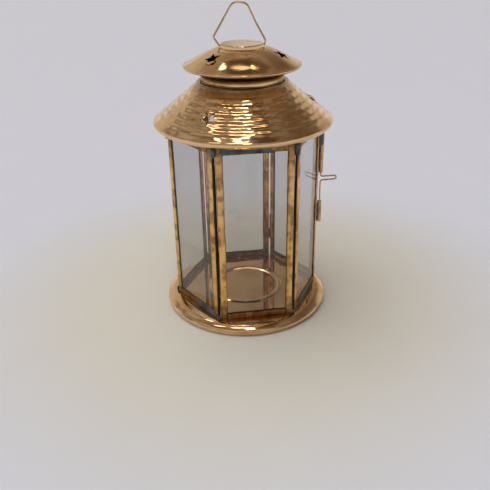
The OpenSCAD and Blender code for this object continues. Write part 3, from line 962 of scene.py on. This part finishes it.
@dataclass
class Cage:
    """The six glazed panels of folded strip, and the solder on them.

    Attributes:
        corner_r: distance of the corners from the middle.
        floor: height that the panels stand on.
        height: height of the panels.
        shift: how far the cage sits to the right of the axis.
        strip_w: width of a folded strip.
        strip_t: thickness of its sheet.
        panel_t: thickness of a panel.
        slit: gap between two panels.
        door_gap: gap above and below the door.
        blobs: solder on the rails: panel, start, end, whether on the top rail, depth.
    """

    corner_r: float = 40.2
    floor: float = 5.8
    height: float = 94.2
    shift: float = 0.6
    strip_w: float = 3.5
    strip_t: float = 0.25
    panel_t: float = 1.6
    slit: float = 0.5
    door_gap: float = 0.45
    blobs: list[tuple[Side, float, float, bool, float]] = field(default_factory=lambda: [
        (Side.LEFT, -1.0, 18.0, False, 1.0), (Side.FRONT, -18.5, 9.0, True, 1.0),
        (Side.RIGHT, -14.0, 15.0, False, 1.0), (Side.BACK, -14.0, 12.0, True, 1.0),
        (Side.REAR_LEFT, -9.0, 9.0, False, 0.8)])

    @property
    def apothem(self) -> float:
        """Distance from the middle of the cage to a panel's outer face."""
        return self.corner_r * math.cos(math.pi / 6)

    @property
    def end_pull(self) -> float:
        """Distance from a corner of the hexagon to the end of a panel."""
        return (self.slit + self.panel_t) / 2 / math.sin(math.pi / 3)

    @property
    def width(self) -> float:
        """Width of a panel."""
        return self.corner_r - 2 * self.end_pull

    def placed(self, points: Array, azimuth: float) -> Array:
        """Points of a panel (X along it, Y inwards, Z up) in the lantern's frame."""
        return turned(points + np.array([0, -self.apothem, 0]), azimuth, (self.shift, 0.0))

    def at_corner(self, points: Array, azimuth: float) -> Array:
        """Points of a corner (X along the azimuth, Y inwards, Z up) in the lantern's frame."""
        return turned(points + np.array([0, -self.corner_r, 0]), azimuth, (self.shift, 0.0))

    def fold(self) -> Array:
        """Outline of the folded strip, from front lip to back lip: a U with a round fold and hollow lips.

        The fold is u = 0.8 (1 - cos(q)^0.7), v = t / 2 (1 + sin(q)^0.7), on both sides of its middle.
        """
        w, t = self.strip_w, self.panel_t
        q = np.radians(np.linspace(-88, 88, 25))
        rise = np.sign(q) * np.abs(np.sin(q)) ** 0.7
        fold = np.stack([0.8 * (1 - np.cos(q) ** 0.7), t / 2 + t / 2 * rise], 1)
        lip = np.array([(w, 0.14), (w - 0.12, 0.06), (w - 0.4, 0.0), (2.5, -0.02), (1.7, -0.01)])
        return thickened(np.concatenate([lip, fold, (lip * (1, -1) + (0, t))[::-1]]), -self.strip_t)

    def strip(self, length: float, seed: int) -> tuple[Array, list]:
        """A folded strip: the outline carried along, its lips wandering and its faces swollen a little.

        The faces stand out by 0.2 sin(pi s), where s is the share of the strip's width.

        Args:
            length: length of the strip.
            seed: picks the unevenness.

        Returns:
            Points (across, deep, along) and faces.
        """
        outline = self.fold()
        way = np.linspace(0, length, max(12, int(length / 1.2)))
        lips = Unevenness(0.2, seed, 3, 14.0).at(np.zeros(1), way)
        belly = Unevenness(0.05, seed + 500, 3, 22.0).at(np.zeros(1), way)
        u, v = outline[:, 0][None, :], outline[:, 1][None, :]
        share = np.clip(u / self.strip_w, 0, 1)
        across = u + lips[:, None] * share ** 2
        deep = v + belly[:, None] * np.where(v > self.panel_t / 2, 1, -1) * share
        deep += 0.2 * np.sin(math.pi * share) * np.where(v > self.panel_t / 2, 1, -1)
        points = np.stack([across, deep, np.broadcast_to(way[:, None], across.shape)], -1).reshape(-1, 3)
        count, total = len(outline), len(outline) * len(way)
        faces = grid_quads(len(way), count, False, True).tolist()
        faces += [list(range(count)), list(range(total - count, total))[::-1]]
        return points, faces

    def panel(self, side: Side, finish: Finishes) -> None:
        """The four strips of one panel, and the finish of its pane."""
        lift = self.door_gap if side is Side.DOOR else 0.0
        height = self.height - 2 * lift
        low = self.floor + lift
        span = self.width - 2 * self.strip_w
        for k, (name, hand) in enumerate((("stile_left", -1), ("stile_right", 1))):
            points, faces = self.strip(height, int(side.value) * 10 + k)
            placed = np.stack([hand * (self.width / 2 - points[:, 0]), points[:, 1], low + points[:, 2]], 1)
            self.finish_strip(side, name, placed, faces, finish)
        for k, (name, hand) in enumerate((("rail_bottom", 1), ("rail_top", -1))):
            points, faces = self.strip(span, int(side.value) * 10 + 5 + k)
            edge = low if hand > 0 else low + height
            placed = np.stack([points[:, 2] - span / 2, points[:, 1], edge + hand * points[:, 0]], 1)
            self.finish_strip(side, name, placed, faces, finish)
        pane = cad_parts[f"{side.node}_glass"]
        pane.data.materials.clear()
        pane.data.materials.append(finish.glass)

    def finish_strip(self, side: Side, name: str, points: Array, faces: list, finish: Finishes) -> None:
        """Turns a placed strip, with painted shade along its edges and over its inner skin, into a piece that stands
        for its CAD node.
        """
        u = self.fold()[:, 0]
        # Painted shade: darker at the lip beside the glass and at the fold, and full on the inner skin.
        edge_shade = 0.75 * np.clip((u - self.strip_w + 0.55) / 0.4, 0, 1) + 0.4 * np.clip((0.25 - u) / 0.25, 0, 1)
        edge_shade = np.where(np.arange(len(u)) < len(u) // 2, edge_shade, 1.0)
        mesh = mesh_from(f"{side.node}_{name}_folded", self.placed(points, side.value), faces, weld=True,
                         inside=np.tile(edge_shade, len(points) // len(u)))
        place_piece(mesh, finish.strip, side.body, (f"{side.node}_{name}",), crease=50.0)

    def blob(self, side: Side, start: float, end: float, at_top: bool, depth: float,
             seed: int) -> tuple[Array, list]:
        """Solder run along a rail: a low hill, its height two rounded steps multiplied, plus lumps.

        Args:
            side: the panel.
            start: where it starts along the panel.
            end: where it ends.
            at_top: on the top rail, or else on the bottom one.
            depth: how far it stands out.
            seed: picks the lumps.

        Returns:
            Points and faces of a closed skin, its back sunk into the strip.
        """
        rows, columns = 70, 22
        s, t = np.meshgrid(np.linspace(-1, 1, rows), np.linspace(-1, 1, columns), indexing="ij")
        along = start + (end - start) * (s + 1) / 2
        middle = self.floor + self.height - 1.8 if at_top else self.floor + 1.8
        hill = (1 - np.abs(s) ** 6) * (1 - np.abs(t) ** 4)
        lumps = Unevenness(1.0, seed, 9, 7.0).at(t * 2.2 + 0.35 * along, along * 1.1)
        stand = depth * (0.62 * hill + 0.3 * lumps) - 0.12
        stand = np.maximum(stand, -0.12)
        front = np.stack([along, -stand, middle + 2.1 * t], -1)
        back = np.stack([along, np.full_like(along, 0.2), middle + 2.1 * t], -1)
        points = np.concatenate([front.reshape(-1, 3), back.reshape(-1, 3)])
        lower = grid_quads(rows, columns, False, False)
        count = rows * columns
        rim = np.concatenate([np.arange(columns), np.arange(1, rows) * columns + columns - 1,
                              (rows - 1) * columns + np.arange(columns - 2, -1, -1),
                              np.arange(rows - 2, 0, -1) * columns])
        after = np.roll(rim, -1)
        wall = np.stack([rim, after, after + count, rim + count], 1)
        faces = np.concatenate([lower, lower[:, ::-1] + count, wall]).tolist()
        return self.placed(points, side.value), faces

    def bead(self, azimuth: float, offset: tuple[float, float], low: float, high: float,
             radii: tuple[float, float], seed: int) -> tuple[Array, list]:
        """Lumpy bead of solder up a corner: r = (r0 + (r1 - r0) s) (1 + lumps), rounded off at both ends.

        Args:
            azimuth: the corner.
            offset: its middle, seen from the corner.
            low: height of its foot.
            high: height of its top.
            radii: radius at the foot and at the top.
            seed: picks the lumps.

        Returns:
            Points and faces.
        """
        rows, sides = 26, 20
        s = np.linspace(0, 1, rows)[:, None]
        angle = np.linspace(0, 2 * math.pi, sides, endpoint=False)[None, :]
        ends = np.sqrt(np.clip(1 - np.abs(2 * s - 1) ** 8, 0, 1))
        lumps = Unevenness(0.3, seed, 3, 4.0).at(angle, s * (high - low))
        r = (radii[0] + (radii[1] - radii[0]) * s) * (1 + lumps) * ends
        points = np.stack([offset[0] + r * np.cos(angle), offset[1] + r * np.sin(angle),
                           np.broadcast_to(low + (high - low) * s, r.shape)], -1).reshape(-1, 3)
        faces = grid_quads(rows, sides, False, True)
        return self.at_corner(points, azimuth), faces.tolist()

    def solder(self, finish: Finishes) -> None:
        """All the solder on the frame, as one piece, and near-black beads in two front corner grooves that paint
        their shade.
        """
        top, floor = self.floor + self.height, self.floor
        parts = [self.blob(side, start, end, at_top, depth, 40 + k)
                 for k, (side, start, end, at_top, depth) in enumerate(self.blobs)]
        groove = (0.0, 0.45)
        for azimuth, low, high, radii, seed in (
            (38.0, top - 6.5, top - 0.05, (1.0, 1.9), 61), (278.0, top - 5, top - 0.05, (0.8, 1.7), 62),
            (338.0, floor + 0.05, floor + 3, (0.8, 0.6), 63), (338.0, top - 5, top - 0.05, (0.8, 1.6), 64),
            (218.0, top - 4, top - 0.05, (0.8, 1.6), 65), (278.0, floor + 0.05, floor + 2.5, (0.8, 0.6), 66),
            (38.0, floor + 0.05, floor + 2, (0.75, 0.6), 67), (218.0, floor + 0.05, floor + 5, (1.5, 0.7), 68),
        ):
            parts.append(self.bead(azimuth, groove, low, high, radii, seed))
        place_piece(joined("solder_runs", parts), finish.solder, "lantern", ("solder_joints",))
        # Painted shade: near-black beads sunk in the front corner grooves, where the slits lie in shade.
        dark = joined("corner_groove_shade", [self.bead(azimuth, (0.0, 1.0), floor + 1, top - 1, (0.6, 0.6), 69)
                                      for azimuth in (338.0, 38.0)])
        shaded = dark.attributes.new("inside", "FLOAT", "POINT")
        shaded.data.foreach_set("value", np.ones(len(dark.vertices), np.float32))
        place_piece(dark, finish.solder, "lantern")

    def build(self, finish: Finishes) -> None:
        """Makes the panels and the solder."""
        for side in Side:
            self.panel(side, finish)
        self.solder(finish)


@dataclass
class Fittings:
    """Bail, hinge and latch.

    Attributes:
        cage: the cage that the tubes are soldered to.
        pivot_z: height of the bail's feet.
        bail_d: thickness of the bail's wire.
        bail_h: height of the bail above its feet.
        tube_d: outer width of the tubes.
        bore_d: width of their bore.
        pin_d: thickness of the wire that turns in them.
        tube_out: distance of the tubes' axis outside the corner.
        latch_corner: azimuth of the latch.
        hinge_corner: azimuth of the hinge.
    """

    cage: Cage
    pivot_z: float = 139.2
    bail_d: float = 0.9
    bail_h: float = 18.55
    tube_d: float = 2.3
    bore_d: float = 0.94
    pin_d: float = 0.84
    tube_out: float = 0.9
    latch_corner: float = 98.0
    hinge_corner: float = 158.0

    def bail(self, finish: Finishes) -> None:
        """The bail: one wire bent by hand to a blunt triangle, its feet through the wall of the cap."""
        corners = np.array([(-8.2, 0), (-11, 0), (-13.7, 3.8), (-4, self.bail_h + 0.9), (2.6, self.bail_h + 0.2),
                            (6.6, 10.4), (11.3, 2.1), (11.05, 0), (8.2, 0)])
        flat = bent(corners, (0.6, 1.2, 3.9, 3.7, 12.0, 0.6, 0.55), 0.16)
        path = np.stack([flat[:, 0], np.zeros(len(flat)), flat[:, 1] + self.pivot_z], 1)
        mesh = sweep("bail_wire", path, self.bail_d / 2, 16, np.array([0.0, 1.0, 0.0]))
        place_piece(mesh, finish.wire, "bail", ("bail",))

    def latch_wire(self, finish: Finishes) -> None:
        """The latch: a wire that turns in two tubes, bent between them to a flat loop for a finger."""
        low, high, reach = 66.9, 69.0, 8.7
        corners = np.array([(0, 43.7), (0, low), (reach, low), (reach, high), (0, high), (0, 84.0)])
        flat = bent(corners, (1.3, 1.02, 1.02, 1.3), 0.14)
        path = np.stack([np.zeros(len(flat)), -self.tube_out - flat[:, 0], flat[:, 1]], 1)
        path = self.cage.at_corner(path, self.latch_corner)
        a = math.radians(self.latch_corner)
        mesh = sweep("latch_wire_bent", path, self.pin_d / 2, 16, np.array([math.cos(a), math.sin(a), 0.0]))
        place_piece(mesh, finish.wire, "latch", ("latch_wire",))

    def tube(self, azimuth: float, low: float, length: float, seed: int) -> tuple[Array, list]:
        """A short tube with a bore and broken edges: a closed outline turned about its own axis."""
        out, bore, edge = self.tube_d / 2, self.bore_d / 2, 0.08
        outline = np.array([(bore, edge), (bore + edge, 0), (out - edge, 0), (out, edge), (out, length / 2),
                            (out, length - edge), (out - edge, length), (bore + edge, length),
                            (bore, length - edge)])
        angle = np.linspace(0, 2 * math.pi, 28, endpoint=False)
        r, h = outline[:, :1], outline[:, 1:]
        swell = Unevenness(0.03, seed, 2, 6.0).at(angle[None, :], h) * (r > 0.8)
        points = np.stack([(r + swell) * np.cos(angle), (r + swell) * np.sin(angle) - self.tube_out,
                           np.broadcast_to(low + h, (len(outline), len(angle)))], -1).reshape(-1, 3)
        return self.cage.at_corner(points, azimuth), grid_quads(len(outline), len(angle), True, True).tolist()

    def tubes(self, finish: Finishes) -> None:
        """Hinge tubes and latch tubes, each with the bead of solder that holds it to its strip."""
        hinge, latch = self.hinge_corner, self.latch_corner
        sets = {
            "frame_tubes": ("lantern", hinge, 1, ((16.0, 8.0), (82.0, 8.0))),
            "door_tubes": ("door", hinge, -1, ((24.3, 8.0), (73.7, 8.0))),
            "latch_tube_upper": ("lantern", latch, -1, ((71.4, 27.2),)),
            "latch_tube_lower": ("lantern", latch, -1, ((42.5, 12.2),)),
        }
        for k, (node, (body, corner, hand, spans)) in enumerate(sets.items()):
            tubes = [self.tube(corner, low, length, 80 + k) for low, length in spans]
            place_piece(joined(f"{node}_drawn", tubes), finish.tube, body, (node,), crease=30.0)
            beside = (hand * 1.15, 0.25)
            beads = [self.cage.bead(corner, beside, low + 0.4, low + length - 0.4, (0.42, 0.42), 90 + k)
                     for low, length in spans]
            if node == "latch_tube_upper":
                beads.append(self.cage.bead(corner, (hand * 0.35, -0.55), 86.0, 98.6, (1.15, 1.5), 97))
            place_piece(joined(f"{node}_solder", beads), finish.solder, body)

    def pin(self, finish: Finishes) -> None:
        """The hinge pin keeps its CAD shape."""
        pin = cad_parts["hinge_pin"]
        pin.data.materials.clear()
        pin.data.materials.append(finish.wire)

    def build(self, finish: Finishes) -> None:
        """Makes every fitting."""
        for make in (self.bail, self.latch_wire, self.tubes, self.pin):
            make(finish)


# ---------------------------------------------------------------- studio


@dataclass(frozen=True)
class Window:
    """A bright pane, lamp or dark patch in the room around the lantern, seen in a direction.

    Attributes:
        azimuth: direction, from the front towards the right, in degrees.
        elevation: height of its middle, in degrees.
        half_width: half its width, in degrees.
        half_height: half its height, in degrees.
        colour: its brightness as a colour.
        soft: how much of its half size its edge takes to fade.
    """

    azimuth: float
    elevation: float
    half_width: float
    half_height: float
    colour: tuple[float, float, float]
    soft: float = 0.3

    def axes(self) -> tuple[Vector, Vector, Vector]:
        """The directions of its middle, of its right and of its top."""
        a, e = math.radians(self.azimuth), math.radians(self.elevation)
        ahead = Vector((math.sin(a) * math.cos(e), -math.cos(a) * math.cos(e), math.sin(e)))
        right = Vector((math.cos(a), math.sin(a), 0))
        return ahead, right, right.cross(ahead) * -1

    def lay(self, n: Nodes, tree: bpy.types.NodeTree, way: bpy.types.NodeSocket,
            room: bpy.types.NodeSocket) -> bpy.types.NodeSocket:
        """Puts the pane into the room's colour."""
        ahead, right, top = self.axes()
        mask = n.group(tree, Vector=way, Ahead=ahead, Right=right, Top=top,
                       Half_Width=math.tan(math.radians(self.half_width)),
                       Half_Height=math.tan(math.radians(self.half_height)), Soft=self.soft).outputs[0]
        return n.mix(mask, room, (*self.colour, 1))


def window_group() -> bpy.types.NodeTree:
    """Mask of a rectangle in a direction: both slopes from its middle, over its half sizes, are under 1."""
    n, start, end = new_group(
        "window",
        {"Vector": (VECTOR, None), "Ahead": (VECTOR, None), "Right": (VECTOR, None), "Top": (VECTOR, None),
         "Half Width": (NUMBER, 0.2), "Half Height": (NUMBER, 0.2), "Soft": (NUMBER, 0.3)},
        {"Mask": NUMBER},
    )
    way = start.outputs["Vector"]
    depth, across, height = (
        n.add("ShaderNodeVectorMath", operation="DOT_PRODUCT", In0=way, In1=start.outputs[key]).outputs["Value"]
        for key in ("Ahead", "Right", "Top"))
    safe = n.maths("MAXIMUM", depth, 0.001)
    far = n.maths("MAXIMUM", *(
        n.maths("ABSOLUTE", n.maths("DIVIDE", n.maths("DIVIDE", one, safe), start.outputs[key]))
        for one, key in ((across, "Half Width"), (height, "Half Height"))))
    fade = n.maths("DIVIDE", n.maths("SUBTRACT", n.maths("ADD", 1.0, start.outputs["Soft"]), far),
                   n.maths("MULTIPLY", start.outputs["Soft"], 2.0), clamp=True)
    n.feed(end, "Mask", n.maths("MULTIPLY", fade, n.maths("GREATER_THAN", depth, 0.01)))
    return n.tree


@dataclass
class Studio:
    """Floor, light, surroundings and camera.

    Attributes:
        lens: focal length of the camera, in millimetres.
        camera_y: the camera's place along Y, in metres.
        camera_z: its height, in metres.
        pitch: how far it looks down, in degrees.
        roll: its turn about its own line of sight, in degrees.
        yaw: its turn about the upright, in degrees.
        sun: strength of the even light.
        windows: bright and dark patches of the room; later ones lie over earlier ones.
    """

    lens: float = 44.75
    camera_y: float = -0.30411
    camera_z: float = 0.18824
    pitch: float = 27.363
    roll: float = -1.0476
    yaw: float = -0.0513
    sun: float = 2.3
    windows: tuple[Window, ...] = (
        Window(180, 24, 50, 12, (0.52, 0.46, 0.39), 0.6),
        Window(112, 47, 50, 14, (0.15, 0.108, 0.078), 0.6),
        Window(-170, 50, 18, 8, (0.32, 0.235, 0.175), 0.7),
        Window(5, 17, 46, 16, (0.17, 0.13, 0.10), 0.6),
        Window(-5, 50, 26, 9, (0.6, 0.5, 0.4), 0.6),
        Window(-80, 66, 14, 8, (0.17, 0.12, 0.08), 0.6),
        Window(90, 75, 17, 9, (0.09, 0.062, 0.042), 0.5),
        Window(180, 65, 18, 4.2, (0.09, 0.06, 0.04), 0.6),
        Window(178, 73, 9, 3.2, (1.8, 1.35, 1.0), 0.3),
        Window(-144, 61, 2.7, 2.7, (6.0, 5.4, 4.4), 0.2),
        Window(153, 69, 2.8, 3.0, (5.0, 3.7, 2.3), 0.2),
        Window(12, 80, 3.0, 6, (9.0, 8.2, 7.0), 0.25),
        Window(-60, 82, 1.8, 5, (8.0, 7.2, 6.0), 0.25),
        Window(-88, 70, 2.0, 4, (5.0, 4.5, 3.6), 0.3),
    )

    def floor(self) -> None:
        """A plain pale floor that fills the view, warmer near the lantern, and the even light over it."""
        mesh = bpy.data.meshes.new("floor")
        mesh.from_pydata([(-6, -6, 0), (6, -6, 0), (6, 6, 0), (-6, 6, 0)], [], [(0, 1, 2, 3)])
        plane = bpy.data.objects.new("floor", mesh)
        bpy.context.scene.collection.objects.link(plane)
        material, n, out, place = new_material("pale_floor")
        grain = n.add("ShaderNodeTexNoise", Vector=place, Scale=30.0, Detail=4.0).outputs[0]
        near = n.span(n.add("ShaderNodeVectorMath", operation="LENGTH", In0=place).outputs["Value"],
                      0.07, 0.19, 0.0, 1.0)
        warm = n.mix(grain, (0.50, 0.49, 0.45, 1), (0.53, 0.52, 0.48, 1))
        cool = n.mix(grain, (0.52, 0.545, 0.635, 1), (0.54, 0.565, 0.655, 1))
        surface = n.add("ShaderNodeBsdfPrincipled", Base_Color=n.mix(near, warm, cool), Roughness=0.6)
        n.feed(out, "Surface", surface.outputs[0])
        mesh.materials.append(material)
        light = bpy.data.lights.new("even_light", "SUN")
        light.energy, light.angle, light.color = self.sun, math.radians(75), (1.0, 0.99, 0.97)
        lamp = bpy.data.objects.new("even_light", light)
        lamp.rotation_euler = Vector((-0.35, -0.1, 0.93)).to_track_quat("Z", "Y").to_euler()
        lamp.visible_glossy = False
        bpy.context.scene.collection.objects.link(lamp)

    def surroundings(self) -> None:
        """A room with pale walls, a darker ceiling, and windows and lamps; plain pale where it is seen."""
        world = bpy.data.worlds.new("pale_room")
        bpy.context.scene.world = world
        world.use_nodes = True
        world.node_tree.nodes.clear()
        n = Nodes(world.node_tree)
        way = n.add("ShaderNodeTexCoord").outputs["Generated"]
        up = n.add("ShaderNodeSeparateXYZ", Vector=way).outputs["Z"]
        room = n.mix(n.span(up, 0.1, 0.7, 0.0, 1.0), (0.66, 0.65, 0.66, 1), (0.33, 0.29, 0.25, 1))
        clutter = n.add("ShaderNodeTexNoise", Vector=way, Scale=3.4, Detail=3.0, Roughness=0.6).outputs[0]
        shade = n.span(clutter, 0.36, 0.6, 0.0, 1.0)
        room = n.mix(shade, n.mix(0.52, room, (0.03, 0.02, 0.012, 1)), n.mix(0.12, room, (1.0, 0.98, 0.95, 1)))
        tree = window_group()
        for window in self.windows:
            room = window.lay(n, tree, way, room)
        seen = n.add("ShaderNodeLightPath").outputs["Is Camera Ray"]
        light = n.add("ShaderNodeBackground", Color=n.mix(seen, room, (0.62, 0.62, 0.66, 1)), Strength=1.0)
        out = n.add("ShaderNodeOutputWorld")
        n.feed(out, "Surface", light.outputs[0])

    def camera(self) -> None:
        """The camera, looking down at the lantern from the front."""
        data = bpy.data.cameras.new("camera")
        data.lens, data.sensor_width = self.lens, 36.0
        data.clip_start, data.clip_end = 0.01, 50.0
        lens = bpy.data.objects.new("camera", data)
        bpy.context.scene.collection.objects.link(lens)
        pitch, yaw, roll = (math.radians(a) for a in (self.pitch, self.yaw, self.roll))
        ahead = Vector((math.sin(yaw) * math.cos(pitch), math.cos(yaw) * math.cos(pitch), -math.sin(pitch)))
        right = Vector((math.cos(yaw), -math.sin(yaw), 0))
        up = right.cross(ahead)
        c, s = math.cos(roll), math.sin(roll)
        right, up = (c * right + s * up, c * up - s * right)
        turn = Matrix((right, up, -ahead)).transposed()
        lens.matrix_world = Matrix.Translation((0, self.camera_y, self.camera_z)) @ turn.to_4x4()
        bpy.context.scene.camera = lens

    def build(self) -> None:
        """Sets the stage."""
        self.camera()
        self.floor()
        self.surroundings()
        bpy.context.scene.view_settings.view_transform = "Standard"


def main() -> None:
    """Builds the studio and the lantern, piece by piece."""
    logging.basicConfig(level=logging.INFO, format="%(name)s: %(message)s")
    Studio().build()
    finish = Finishes()
    cage = Cage()
    SpunSheets().build(finish)
    cage.build(finish)
    Fittings(cage).build(finish)


if __name__ == "__main__":
    main()
